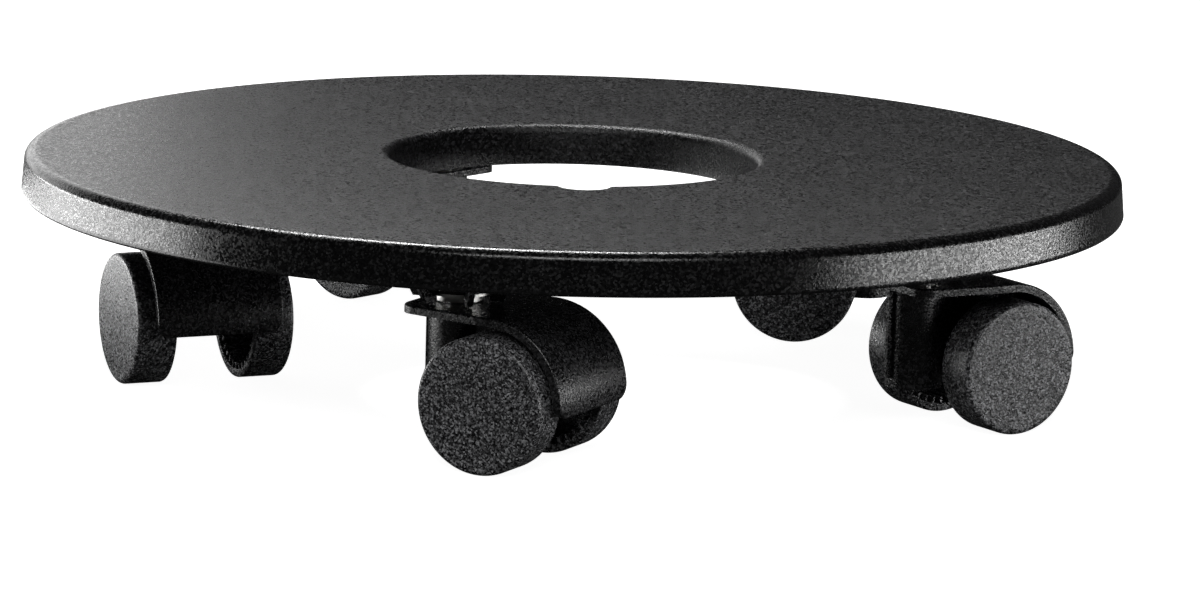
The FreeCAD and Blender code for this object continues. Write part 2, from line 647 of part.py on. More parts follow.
os.makedirs("parts", exist_ok=True)
for body in sub_parts:
    body.Shape.exportStep(f"parts/{body.Label}.step")
    box = body.Shape.BoundBox
    print(f"{body.Label}: {body.Shape.Volume:.1f} mm3, {box.XLength:.2f} x {box.YLength:.2f} x "
          f"{box.ZLength:.2f} mm, z {box.ZMin:.2f} to {box.ZMax:.2f}")
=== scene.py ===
# %% [markdown]
# # A plant pot caddy, finished in Blender
# The caddy is a round moulded deck on five twin-wheel casters. Its CAD model is
# already packed, so this lesson loads it as a fixed frame and works around it:
# fine meshes where the eye sees the curve, and a finish for every surface.

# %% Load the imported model
import json
import math

import bmesh
import bpy
from mathutils import Matrix, Vector


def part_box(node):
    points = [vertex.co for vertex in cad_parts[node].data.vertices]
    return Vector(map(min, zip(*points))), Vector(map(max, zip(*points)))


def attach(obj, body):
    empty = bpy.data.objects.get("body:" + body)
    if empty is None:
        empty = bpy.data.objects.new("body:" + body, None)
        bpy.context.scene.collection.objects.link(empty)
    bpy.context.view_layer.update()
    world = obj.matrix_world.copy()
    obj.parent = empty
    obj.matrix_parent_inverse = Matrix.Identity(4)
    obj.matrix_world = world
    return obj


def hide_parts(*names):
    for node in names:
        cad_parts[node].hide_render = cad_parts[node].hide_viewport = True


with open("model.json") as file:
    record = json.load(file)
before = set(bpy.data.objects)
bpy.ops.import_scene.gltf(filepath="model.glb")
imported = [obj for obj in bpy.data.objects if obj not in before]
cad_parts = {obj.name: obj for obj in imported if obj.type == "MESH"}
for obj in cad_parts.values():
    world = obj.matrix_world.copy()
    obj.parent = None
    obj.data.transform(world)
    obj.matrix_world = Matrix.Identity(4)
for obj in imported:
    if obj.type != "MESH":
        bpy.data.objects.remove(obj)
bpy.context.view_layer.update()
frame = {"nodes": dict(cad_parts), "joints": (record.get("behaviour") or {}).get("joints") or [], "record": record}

MM = 0.001
scene = bpy.context.scene
nodes = frame["nodes"]
record = frame["record"]
joints = {joint["name"]: joint for joint in frame["joints"]}

# %% [markdown]
# ## The camera comes first
# The caddy is seen from a low height, about eleven degrees down, so its deck is
# a flat ellipse. A long lens keeps the near and far wheels nearly the same size.
# The camera is placed by its distance, its height, a pan, a tilt and a roll.

# %% Camera
CAMERA_PLACE = Vector((0, -1.6027, 0.3306))
CAMERA_PAN = math.radians(0.332)
CAMERA_TILT = math.radians(10.869)
CAMERA_ROLL = math.radians(1.565)
CAMERA_LENS = 157.4
SENSOR_WIDTH = 36

look = Vector((math.sin(CAMERA_PAN) * math.cos(CAMERA_TILT),
               math.cos(CAMERA_PAN) * math.cos(CAMERA_TILT), -math.sin(CAMERA_TILT)))
level = look.cross(Vector((0, 0, 1))).normalized()
upright = level.cross(look)
right = math.cos(CAMERA_ROLL) * level + math.sin(CAMERA_ROLL) * upright
up = math.cos(CAMERA_ROLL) * upright - math.sin(CAMERA_ROLL) * level
camera_data = bpy.data.cameras.new("camera")
camera_data.lens = CAMERA_LENS
camera_data.sensor_width = SENSOR_WIDTH
camera_data.clip_start, camera_data.clip_end = 0.05, 50
camera = bpy.data.objects.new("camera", camera_data)
scene.collection.objects.link(camera)
turn = Matrix((right, up, -look)).transposed()
camera.matrix_world = Matrix.Translation(CAMERA_PLACE) @ turn.to_4x4()
scene.camera = camera
print(f"camera {CAMERA_PLACE.length:.2f} m away, lens {CAMERA_LENS} mm")

# %% [markdown]
# ## Writing node trees as Python
# A node tree is quicker to read as a sum than as a list of links. `Value` wraps
# an output socket, and its operators add Math nodes. `Graph.node` makes any
# other node from its type, its settings and its sockets. A list of values goes
# into one socket that takes many links.

# %% The two small classes
class Value:
    """An output socket that can be used in Python sums."""

    def __init__(self, graph, socket):
        self.graph = graph
        self.socket = socket

    def math(self, operation, first, second):
        return self.graph.node("ShaderNodeMath", {"operation": operation}, {0: first, 1: second})

    def __add__(self, other):
        return self.math("ADD", self, other)

    def __sub__(self, other):
        return self.math("SUBTRACT", self, other)

    def __rsub__(self, other):
        return self.math("SUBTRACT", other, self)

    def __mul__(self, other):
        return self.math("MULTIPLY", self, other)

    def __truediv__(self, other):
        return self.math("DIVIDE", self, other)

    def __pow__(self, other):
        return self.math("POWER", self, other)

    __radd__ = __add__
    __rmul__ = __mul__


def find_socket(sockets, key):
    """A socket by its number, its identifier or its name."""
    if isinstance(key, int):
        return sockets[key]
    return next((socket for socket in sockets if socket.identifier == key), None) or sockets[key]


class Graph:
    """A node tree with one method that adds any node."""

    def __init__(self, tree):
        self.tree = tree

    def node(self, kind, settings=None, sockets=None, output=0):
        """Add a node and return one of its outputs, or the node if it has none."""
        made = self.tree.nodes.new(kind)
        for name, value in (settings or {}).items():
            setattr(made, name, value)
        for name, value in (sockets or {}).items():
            entry = find_socket(made.inputs, name)
            if isinstance(value, list):
                for item in value:
                    self.tree.links.new(item.socket, entry)
            elif isinstance(value, Value):
                self.tree.links.new(value.socket, entry)
            else:
                entry.default_value = value
        return Value(self, find_socket(made.outputs, output)) if len(made.outputs) else made


print("Value and Graph are ready")

# %% [markdown]
# ## Light and floor
# The caddy stands in a plain pale studio. A broad card behind, on the left, fades
# over the deck's top. Two low strips stand beside the caddy, under the level of
# the deck, so that they light the rim and the wheels but never the top. A narrow
# strip above and behind picks out the rounded shoulder. A panel on the floor,
# facing up, lights the left side from below, and a box above the camera lights
# what faces it. The room looks pale to the camera and dim to the plastic, which
# keeps black plastic black.

# %% Soft boxes
SOFT_BOXES = (
    # name, place, aims at, width, height, watts
    ("back_card", (-0.885, 1.20, 0.35), (-0.885, 0.0, 0.20), 1.30, 0.60, 4.1),
    ("edge_strip", (-0.20, 0.62, 1.08), (-0.05, -0.1, 0.07), 0.60, 0.14, 12.0),
    ("left_low_strip", (-1.00, 0.30, 0.034), (-0.10, 0.0, 0.034), 1.1, 0.062, 4.4),
    ("left_floor_panel", (-0.47, 0.13, 0.002), (-0.47, 0.14, 1.0), 0.45, 0.62, 3.6),
    ("right_low_strip", (0.92, -0.12, 0.034), (0.08, 0.0, 0.034), 1.05, 0.062, 3.3),
    ("front_box", (0.0, -1.60, 1.15), (0.0, 0.0, 0.03), 1.2, 0.6, 12.5),
)


def soft_box(name, place, aim, width, height, watts):
    """An area light at a place, turned towards its aim."""
    light = bpy.data.lights.new(name, "AREA")
    light.shape = "RECTANGLE"
    light.size, light.size_y, light.energy = width, height, watts
    lamp = bpy.data.objects.new(name, light)
    scene.collection.objects.link(lamp)
    lamp.location = place
    lamp.rotation_euler = (Vector(aim) - Vector(place)).to_track_quat("-Z", "Y").to_euler()
    return lamp


for row in SOFT_BOXES:
    print("soft box", soft_box(*row).name)

# %% Surroundings
WHITE = (1, 1, 1, 1)
DIM_ROOM, PALE_ROOM = 0.022, 1.0

scene.view_settings.view_transform = "Standard"
world = bpy.data.worlds.new("studio")
world.use_nodes = True
scene.world = world
world.node_tree.nodes.clear()
sky = Graph(world.node_tree)
to_camera = sky.node("ShaderNodeLightPath", None, None, "Is Camera Ray")
dim = sky.node("ShaderNodeBackground", None, {"Color": WHITE, "Strength": DIM_ROOM})
pale = sky.node("ShaderNodeBackground", None, {"Color": WHITE, "Strength": PALE_ROOM})
room = sky.node("ShaderNodeMixShader", None, {0: to_camera, 1: dim, 2: pale})
sky.node("ShaderNodeOutputWorld", None, {"Surface": room})
print("surroundings: pale to the camera, dim to the caddy")

# %% Floor
FLOOR_HALF = 9.0
FLOOR_DROP = 0.00002          # just under the wheels
FLOOR_GREY, FLOOR_GLOW = 0.60, 0.95
FLOOR_UNSEEN = 0.08

floor_mesh = bpy.data.meshes.new("floor")
floor_mesh.from_pydata([(x * FLOOR_HALF, y * FLOOR_HALF, -FLOOR_DROP)
                        for x, y in ((-1, -1), (1, -1), (1, 1), (-1, 1))], [], [(0, 1, 2, 3)])
floor = bpy.data.objects.new("floor", floor_mesh)
scene.collection.objects.link(floor)
paper = bpy.data.materials.new("pale_floor")
paper.use_nodes = True
paper.node_tree.nodes.clear()
graph = Graph(paper.node_tree)
seen = graph.node("ShaderNodeLightPath", None, None, "Is Camera Ray")
matt = graph.node("ShaderNodeBsdfDiffuse", None, {"Color": (FLOOR_GREY,) * 3 + (1,)})
glow = graph.node("ShaderNodeEmission", None, {"Color": WHITE, "Strength": FLOOR_GLOW})
seen_floor = graph.node("ShaderNodeAddShader", None, {0: matt, 1: glow})
unseen_floor = graph.node("ShaderNodeBsdfDiffuse", None, {"Color": (FLOOR_UNSEEN,) * 3 + (1,)})
upper = graph.node("ShaderNodeMixShader", None, {0: seen, 1: unseen_floor, 2: seen_floor})
from_below = graph.node("ShaderNodeNewGeometry", None, None, "Backfacing")
clear = graph.node("ShaderNodeBsdfTransparent")
mixed = graph.node("ShaderNodeMixShader", None, {0: from_below, 1: upper, 2: clear})
graph.node("ShaderNodeOutputMaterial", None, {"Surface": mixed})
floor_mesh.materials.append(paper)
print("floor made,", 2 * FLOOR_HALF, "m wide")

# %% [markdown]
# ## Finishes
# Deck, casters and wheels are moulded in black plastic, and the mould is etched:
# a fine grain on the deck's top, a coarser leather grain on the rim, the hoods
# and the wheels. The etching is a height, so it goes through a Bump node. Each
# little facet also has its own gloss. Pale specks painted into the colour, on the
# grain's tips and on a few facets, are painted glints that make the grain sparkle.

# %% Helpers for finishes
def new_finish(name):
    """An empty material and its graph."""
    material = bpy.data.materials.new(name)
    material.use_nodes = True
    material.node_tree.nodes.clear()
    return material, Graph(material.node_tree)


def place_on_object(graph):
    """Object coordinates, in metres."""
    return graph.node("ShaderNodeTexCoord", None, None, "Object")


def reach_from_axis(graph, place):
    """The distance from the upright axis."""
    x, y = (graph.node("ShaderNodeSeparateXYZ", None, {0: place}, axis) for axis in "XY")
    return (x * x + y * y) ** 0.5


def noise(graph, place, size, detail=2.0, roughness=0.5):
    """Cloudy noise with lumps of about the given size."""
    sockets = {"Vector": place, "Scale": 1 / size, "Detail": detail, "Roughness": roughness}
    return graph.node("ShaderNodeTexNoise", None, sockets, "Fac")


def soft_step(graph, value, low, high):
    """0 below low, 1 above high, and smooth between them."""
    settings = {"interpolation_type": "SMOOTHSTEP"}
    return graph.node("ShaderNodeMapRange", settings, {0: value, 1: low, 2: high})


WANDER_RATE, CREASE_SOFTNESS = 0.7, 0.6


def leather(graph, place, size):
    """Rounded pebbles of the given size with narrow creases between them."""
    wander = graph.node("ShaderNodeTexNoise", None,
                        {"Vector": place, "Scale": WANDER_RATE / size, "Detail": 2.0}, "Color")
    centred = graph.node("ShaderNodeVectorMath", {"operation": "SUBTRACT"},
                         {0: wander, 1: (0.5, 0.5, 0.5)})
    moved = graph.node("ShaderNodeVectorMath", {"operation": "MULTIPLY_ADD"},
                       {0: centred, 1: (size, size, size), 2: place})
    sockets = {"Vector": moved, "Scale": 1 / size, "Smoothness": CREASE_SOFTNESS}
    cells = graph.node("ShaderNodeTexVoronoi", {"feature": "SMOOTH_F1"}, sockets, "Distance")
    return 1 - cells


def speckle(graph, place, size):
    """A random value for every little facet of the given size; it sets the painted glints and the gloss."""
    cell = graph.node("ShaderNodeTexVoronoi", {"feature": "F1"},
                      {"Vector": place, "Scale": 1 / size}, "Color")
    return graph.node("ShaderNodeSeparateColor", None, {0: cell}, "Red")


def blend_colours(graph, factor, first, second):
    """The first colour where the factor is 0 and the second where it is 1."""
    return graph.node("ShaderNodeMix", {"data_type": "RGBA"},
                      {"Factor_Float": factor, "A_Color": first, "B_Color": second}, "Result_Color")


print("finish helpers ready")

# %% [markdown]
# ## Two grains on one deck
# The deck's top has a finer grain than its rim. One function fades from the one
# to the other by the distance from the upright axis, within a millimetre or two.

# %% The rim's own grain
FINE_GRAIN = 0.00050          # size of the grain on the deck's top
GRAIN_DETAIL = 0.7            # how much each finer octave of a grain adds
RIM_BLEND = (-0.0006, 0.0008)  # where the coarse grain starts and is full, from the radius
# on the rim: its share of the relief, the share of painted glints it loses from its colour, and the gloss it gains
RIM_RELIEF, RIM_GLINTS_LOST, RIM_EXTRA_GLOSS = 0.5, 0.8, 0.10


def rim_grain(graph, place, start, height, painted_glints, rough):
    """Fine grain inside the radius start; outside it the given coarse grain, glossier and with fewer painted
    glints.
    """
    reach = reach_from_axis(graph, place)
    on_rim = soft_step(graph, reach, start + RIM_BLEND[0], start + RIM_BLEND[1])
    grain = noise(graph, place, FINE_GRAIN, roughness=GRAIN_DETAIL)
    return (grain + (height * RIM_RELIEF - grain) * on_rim,
            painted_glints * (1 - on_rim * RIM_GLINTS_LOST), rough - on_rim * RIM_EXTRA_GLOSS)


print("rim grain ready")

# %% Moulded plastic
GRAIN_SIZE, CLOUD_SIZE = 0.0006, 0.03
# the tip share and tip range place painted glints, pale colour standing in for light, on the grain's raised tips
LEATHER_SHARE, TIP_GLINT_SHARE = 0.4, 0.15
TIP_GLINT_RANGE = (0.46, 0.66)
FACET_GLOSS, CLOUD_GLOSS = 0.36, 0.06
CLOUD_PALE = (0.8, 0.4)       # least paleness, and how much the clouds add


def moulded_plastic(name, plastic_colour, tip, pebble, facet_size, relief, gloss, glint_rarity, rim_only=None):
    """Etched black plastic, with painted glints as pale specks in its colour. With rim_only, the coarse grain
    starts at that radius.
    """
    material, graph = new_finish(name)
    place = place_on_object(graph)
    height = (leather(graph, place, pebble) * LEATHER_SHARE
              + noise(graph, place, GRAIN_SIZE, roughness=GRAIN_DETAIL) * (1 - LEATHER_SHARE))
    cloud = noise(graph, place, CLOUD_SIZE, detail=3.0)
    facet = speckle(graph, place, facet_size)
    tip_glints = soft_step(graph, height, *TIP_GLINT_RANGE)
    # painted glints: pale colour on the grain's raised tips and on a few facets stands in for light glinting off
    # them
    painted_glints = tip_glints * TIP_GLINT_SHARE + facet ** glint_rarity * (1 - TIP_GLINT_SHARE)
    rough = gloss + (facet - 0.5) * FACET_GLOSS + (cloud - 0.5) * CLOUD_GLOSS
    if rim_only:
        height, painted_glints, rough = rim_grain(graph, place, rim_only, height, painted_glints, rough)
    # the painted glints, weaker or stronger in random clouds, blend the plastic's colour towards the glint colour
    glint_paleness = painted_glints * (CLOUD_PALE[0] + cloud * CLOUD_PALE[1])
    colour = blend_colours(graph, glint_paleness, (*plastic_colour, 1), (*tip, 1))
    bump = graph.node("ShaderNodeBump", None,
                      {"Height": height, "Strength": 1.0, "Distance": relief}, "Normal")
    shader = graph.node("ShaderNodeBsdfPrincipled", None,
                        {"Base Color": colour, "Roughness": rough, "Normal": bump,
                         "Specular IOR Level": 0.5})
    graph.node("ShaderNodeOutputMaterial", None, {"Surface": shader})
    return material


print("plastic recipe ready")

# %% Three plastics
# each glint colour is the colour of the painted glints; the wheels' is pale, which paints bright glints over their
# faces
deck_plastic = moulded_plastic(
    "deck_plastic_finish", plastic_colour=(0.0012, 0.0012, 0.0014), tip=(0.085, 0.085, 0.090),
    pebble=0.00085, facet_size=0.00060, relief=0.00020, gloss=0.32, glint_rarity=7, rim_only=0.1656)
caster_plastic = moulded_plastic(
    "caster_plastic_finish", plastic_colour=(0.002, 0.002, 0.0022), tip=(0.066, 0.066, 0.070),
    pebble=0.00085, facet_size=0.00050, relief=0.00016, gloss=0.28, glint_rarity=3)
wheel_plastic = moulded_plastic(
    "wheel_plastic_finish", plastic_colour=(0.002, 0.002, 0.0024), tip=(0.480, 0.482, 0.500),
    pebble=0.00070, facet_size=0.00046, relief=0.00020, gloss=0.30, glint_rarity=4)
print("plastics:", deck_plastic.name, caster_plastic.name, wheel_plastic.name)

# %% Turned steel
PATCH_SIZE = 0.0022
STEEL_GLOSS, PATCH_DULLING = 0.22, 0.2
TOOL_MARK_DEPTH = 0.00001


def turned_steel(name, colour, dull, line):
    """Steel with fine tool lines round it and a few dull patches."""
    material, graph = new_finish(name)
    place = place_on_object(graph)
    sockets = {"Vector": place, "Scale": 1 / line, "Distortion": 1.5, "Detail": 2.0}
    lines = graph.node("ShaderNodeTexWave", {"bands_direction": "Z", "wave_profile": "SIN"},
                       sockets, "Fac")
    patches = noise(graph, place, PATCH_SIZE, detail=3.0)
    tone = blend_colours(graph, patches, (*colour, 1), (*dull, 1))
    rough = STEEL_GLOSS + patches * PATCH_DULLING
    marks = {"Height": lines * 0.5 + patches * 0.5, "Strength": 0.5, "Distance": TOOL_MARK_DEPTH}
    bump = graph.node("ShaderNodeBump", None, marks, "Normal")
    shader = graph.node("ShaderNodeBsdfPrincipled", None,
                        {"Base Color": tone, "Metallic": 1.0, "Roughness": rough, "Normal": bump})
    graph.node("ShaderNodeOutputMaterial", None, {"Surface": shader})
    return material


plated_steel = turned_steel("plated_steel_finish", (0.78, 0.78, 0.76), (0.52, 0.52, 0.50), 0.0007)
spring_steel = turned_steel("spring_steel_finish", (0.55, 0.56, 0.58), (0.36, 0.37, 0.40), 0.0004)
axle_steel = turned_steel("axle_steel_finish", (0.66, 0.66, 0.67), (0.50, 0.50, 0.50), 0.0003)
print("steels:", plated_steel.name, spring_steel.name, axle_steel.name)

# %% Give every CAD node its finish
FINISHES = {"deck_plastic": deck_plastic, "caster_plastic": caster_plastic,
            "wheel_plastic": wheel_plastic, "plated_steel": plated_steel,
            "spring_steel": spring_steel, "axle_steel": axle_steel}
for subpart in record["subparts"]:
    node = nodes[subpart["node"]]
    for slot in node.material_slots:
        slot.material = FINISHES[subpart["material_slot"]]
print("finishes on", len(record["subparts"]), "nodes")

# %% [markdown]
# ## Two ways to make a ring
# Nearly every piece here is round. One tree sweeps a section along a closed
# path, which makes rims, walls and wheels. The other repeats an item round the
# upright axis, which makes ribs, teeth and towers. Both are Geometry Nodes, and
# `run_tree` turns their result into a plain mesh.

# %% Helpers for geometry trees
class GeometryTree(Graph):
    """A geometry tree with named inputs."""

    def __init__(self, name, inputs):
        super().__init__(bpy.data.node_groups.new(name, "GeometryNodeTree"))
        interface = self.tree.interface
        interface.new_socket("Geometry", in_out="OUTPUT", socket_type="NodeSocketGeometry")
        interface.new_socket("Geometry", in_out="INPUT", socket_type="NodeSocketGeometry")
        for label, kind in inputs:
            interface.new_socket(label, in_out="INPUT", socket_type=f"NodeSocket{kind}")
        self.entry = self.tree.nodes.new("NodeGroupInput")

    def given(self, label):
        """A named input of the tree."""
        return Value(self, self.entry.outputs[label])

    def object_shape(self, label):
        """The geometry of the object given under that name."""
        settings = {"transform_space": "RELATIVE"}
        return self.node("GeometryNodeObjectInfo", settings, {"Object": self.given(label)},
                         "Geometry")

    def finish(self, geometry):
        """Realize the instances, set the material and end the tree."""
        real = self.node("GeometryNodeRealizeInstances", None, {0: geometry})
        done = self.node("GeometryNodeSetMaterial", None,
                         {"Geometry": real, "Material": self.given("Material")})
        self.node("NodeGroupOutput", None, {0: done})
        return self.tree


print("geometry tree class ready")

# %% Helpers for meshes
def run_tree(tree, name, **values):
    """Evaluate the tree once and return its result as a clean, plain mesh."""
    holder = bpy.data.objects.new(name, bpy.data.meshes.new(name))
    scene.collection.objects.link(holder)
    modifier = holder.modifiers.new("shape", "NODES")
    modifier.node_group = tree
    for item in tree.interface.items_tree:
        key = item.name.lower().replace(" ", "_")
        if item.in_out == "INPUT" and key in values:
            modifier[item.identifier] = values[key]
    bpy.context.view_layer.update()
    evaluated = holder.evaluated_get(bpy.context.evaluated_depsgraph_get())
    mesh = bpy.data.meshes.new_from_object(evaluated)
    bpy.data.objects.remove(holder)
    mesh.name = name
    return mesh


SAME_POINT, NO_LENGTH = 0.000002, 0.000001
SHARP_ANGLE = math.radians(35.0)


def tidy_mesh(mesh):
    """Merge doubles, face the surface outwards, and shade it smooth between sharp edges."""
    work = bmesh.new()
    work.from_mesh(mesh)
    bmesh.ops.remove_doubles(work, verts=work.verts, dist=SAME_POINT)
    bmesh.ops.dissolve_degenerate(work, edges=work.edges, dist=NO_LENGTH)
    bmesh.ops.recalc_face_normals(work, faces=work.faces)
    work.to_mesh(mesh)
    work.free()
    mesh.shade_smooth()
    mesh.set_sharp_from_angle(angle=SHARP_ANGLE)
    return mesh


def line_object(name, points, closed=False):
    """A polyline as a curve object; its normals stay level."""
    data = bpy.data.curves.new(name, "CURVE")
    data.dimensions = "3D"
    data.twist_mode = "Z_UP"
    spline = data.splines.new("POLY")
    spline.points.add(len(points) - 1)
    for point, place in zip(spline.points, points):
        point.co = (*(value * MM for value in place), 1)
    spline.use_cyclic_u = closed
    line = bpy.data.objects.new(name, data)
    scene.collection.objects.link(line)
    return line


def mesh_object(name, mesh):
    """A mesh as an object in the scene, at the origin."""
    made = bpy.data.objects.new(name, mesh)
    scene.collection.objects.link(made)
    return made


def remove(*objects):
    """Take helper objects out of the file."""
    for item in objects:
        bpy.data.objects.remove(item)


print("mesh helpers ready")

# %% The sweeping tree
def sweep_nodes(tree, path_label, section_label):
    """Nodes that sweep a section along a path."""
    return tree.node("GeometryNodeCurveToMesh", None,
                     {"Curve": tree.object_shape(path_label),
                      "Profile Curve": tree.object_shape(section_label)})


sweep_tree = GeometryTree("sweep_a_section", (
    ("Path", "Object"), ("Section", "Object"), ("Material", "Material")))
sweep_tree.finish(sweep_nodes(sweep_tree, "Path", "Section"))
print("tree:", sweep_tree.tree.name)

# %% The repeating tree
repeat_tree = GeometryTree("repeat_round_the_axis", (
    ("Item", "Object"), ("Count", "Int"), ("Circle Radius", "Float"),
    ("First Angle", "Float"), ("Span", "Float"), ("Material", "Material")))
index = repeat_tree.node("GeometryNodeInputIndex")
count = repeat_tree.given("Count")
bearing = repeat_tree.given("First Angle") + index * repeat_tree.given("Span") / count
cosine = repeat_tree.node("ShaderNodeMath", {"operation": "COSINE"}, {0: bearing})
sine = repeat_tree.node("ShaderNodeMath", {"operation": "SINE"}, {0: bearing})
circle_radius = repeat_tree.given("Circle Radius")
spot = repeat_tree.node("ShaderNodeCombineXYZ", None,
                        {0: cosine * circle_radius, 1: sine * circle_radius})
spots = repeat_tree.node("GeometryNodePoints", None, {"Count": count, "Position": spot})
heading = repeat_tree.node("ShaderNodeCombineXYZ", None, {2: bearing})
copies = repeat_tree.node("GeometryNodeInstanceOnPoints", None,
                          {"Points": spots, "Instance": repeat_tree.object_shape("Item"),
                           "Rotation": heading})
repeat_tree.finish(copies)
print("tree:", repeat_tree.tree.name)

# %% Points for paths and sections
def angles_between(start, end, steps):
    """Angles in radians, from start to end in degrees, both ends included."""
    return [math.radians(start + (end - start) * step / steps) for step in range(steps + 1)]


def arc(centre, radius, start, end, steps):
    """Points along an arc, from start to end in degrees, both ends included."""
    return [(centre[0] + radius * math.cos(a), centre[1] + radius * math.sin(a), 0)
            for a in angles_between(start, end, steps)]


def circle(radius, steps):
    """Points round a circle; the last is not the first again."""
    return arc((0, 0), radius, 0, 360, steps)[:-1]


def section_points(profile, datum):
    """(radius, height) pairs as a section for a path of radius datum."""
    return [(radius - datum, -height, 0) for radius, height in profile]


def quarter(centre, radius_across, radius_up, start, end, steps):
    """A quarter ellipse in a section, from start to end in degrees."""
    return [(centre[0] + radius_across * math.cos(a), centre[1] + radius_up * math.sin(a))
            for a in angles_between(start, end, steps)]


print("points ready")

# %% Round and repeated shapes
def revolved(name, profile, steps, finish):
    """A mesh of revolution about Z from (radius, height) pairs."""
    path = line_object(name + "_path", circle(1.0, steps), closed=True)
    section = line_object(name + "_section", section_points(profile, 1.0))
    mesh = run_tree(sweep_tree.tree, name, path=path, section=section, material=finish)
    remove(path, section)
    return mesh


def repeated(name, item, count, finish, radius=0, first=0, span=360):
    """The item repeated round Z; first and span are in degrees."""
    return run_tree(repeat_tree.tree, name, item=item, count=count, circle_radius=radius * MM,
                    first_angle=math.radians(first), span=math.radians(span), material=finish)


def joined(name, meshes, finish):
    """One object from several meshes."""
    work = bmesh.new()
    for mesh in meshes:
        work.from_mesh(mesh)
    whole = bpy.data.meshes.new(name)
    work.to_mesh(whole)
    work.free()
    whole.materials.clear()
    whole.materials.append(finish)
    return mesh_object(name, tidy_mesh(whole))


print("shape helpers ready")

# %% [markdown]
# ## The deck's shell
# The deck is one moulding, 3 mm thick: a flat top, a rounded shoulder, a rim
# that leans in a little, and a wall round the central hole. The hole has a half
# round finger notch with soft corners, so its outline is drawn from arcs. The
# sweeps are joined by flat fills at the top, under the skin and at the foot.

# %% Deck sizes
low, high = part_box("deck")
DECK_TOP = high.z / MM
RIM_FOOT = 56.0
INSIDE_CAD = 0.005            # the look stays this far inside the CAD model
DECK_RADIUS = min(high.x, high.y, -low.x, -low.y) / MM - INSIDE_CAD
SKIN = 3.0
WALL = 3.0
LEAN = 0.84                   # the rim leans in by this from foot to top
SHOULDER_RADIUS = DECK_RADIUS - LEAN
HOLE_RADIUS = next(m for m in record["mounts"] if m["kind"] == "bore")["dims"]["r_mm"]
HOLE_ROUND = 2.6
NOTCH_RADIUS = 6.3
NOTCH_CORNER = 3.0
notch_box = next(o for o in record["physics"]["openings"] if o["name"] == "edge_notch")["box_m"]
notch_middle = [(a + b) / 2 for a, b in zip(*notch_box)]
NOTCH_ANGLE = math.degrees(math.atan2(notch_middle[1], notch_middle[0]))
print(f"deck radius {DECK_RADIUS:.2f}, top {DECK_TOP:.2f}, notch at {NOTCH_ANGLE:.1f} degrees")

# %% Outlines of the hole
corner_reach = HOLE_RADIUS + NOTCH_CORNER
notch_reach = NOTCH_RADIUS + NOTCH_CORNER
hole_end = math.acos((corner_reach ** 2 + HOLE_RADIUS ** 2 - notch_reach ** 2)
                     / (2 * corner_reach * HOLE_RADIUS))
corner = Vector((corner_reach * math.cos(hole_end), corner_reach * math.sin(hole_end)))
alpha = math.degrees(hole_end)
beta = math.degrees(math.atan2(corner.y, corner.x - HOLE_RADIUS))
HOLE_STEPS, NOTCH_STEPS, CORNER_STEPS = 232, 20, 8
notch_centre = (HOLE_RADIUS, 0)
low_corner, high_corner = (corner.x, -corner.y), (corner.x, corner.y)
hole_outline = (arc((0, 0), HOLE_RADIUS, alpha, 360 - alpha, HOLE_STEPS)[:-1]
                + arc(low_corner, NOTCH_CORNER, 180 - alpha, 180 - beta, CORNER_STEPS)[:-1]
                + arc(notch_centre, NOTCH_RADIUS, -beta, beta, NOTCH_STEPS)[:-1]
                + arc(high_corner, NOTCH_CORNER, beta - 180, alpha - 180, CORNER_STEPS)[:-1])
wall_outline = (arc((0, 0), corner_reach, alpha, 360 - alpha, HOLE_STEPS)[:-1]
                + arc(notch_centre, notch_reach, -beta, beta, NOTCH_STEPS)[:-1])


def turned(points, angle):
    """Points turned about the upright axis, angle in degrees."""
    c, s = math.cos(math.radians(angle)), math.sin(math.radians(angle))
    return [(x * c - y * s, x * s + y * c, z) for x, y, z in points]


print(len(hole_outline), "points round the hole,", len(wall_outline), "behind its wall")

# %% Sections of the rim and the hole
SHOULDER_ACROSS, SHOULDER_DOWN = 3.5, 2.85
SHOULDER_STEPS, HOLE_EDGE_STEPS = 12, 10
FLAT_LEAD = 0.3               # each sweep runs this far on to the flat
under_skin = DECK_TOP - SKIN
rim_profile = ([(SHOULDER_RADIUS - SHOULDER_ACROSS - 2 * FLAT_LEAD, DECK_TOP)]
               + quarter((SHOULDER_RADIUS - SHOULDER_ACROSS, DECK_TOP - SHOULDER_DOWN),
                         SHOULDER_ACROSS, SHOULDER_DOWN, 90, 0, SHOULDER_STEPS)
               + [(DECK_RADIUS - 0.09, RIM_FOOT + 1.6), (DECK_RADIUS, RIM_FOOT + 0.8),
                  (DECK_RADIUS - 0.14, RIM_FOOT + 0.42), (DECK_RADIUS - 0.42, RIM_FOOT + 0.12),
                  (DECK_RADIUS - 0.8, RIM_FOOT), (DECK_RADIUS - WALL, RIM_FOOT),
                  (DECK_RADIUS - WALL - LEAN, under_skin)])
hole_profile = ([(0, RIM_FOOT), (0, RIM_FOOT + 5)]
                + quarter((HOLE_ROUND, DECK_TOP - HOLE_ROUND), HOLE_ROUND, HOLE_ROUND,
                          180, 90, HOLE_EDGE_STEPS)
                + [(HOLE_ROUND + FLAT_LEAD, DECK_TOP)])
print(len(rim_profile), "points in the rim's section,", len(hole_profile), "in the hole's")

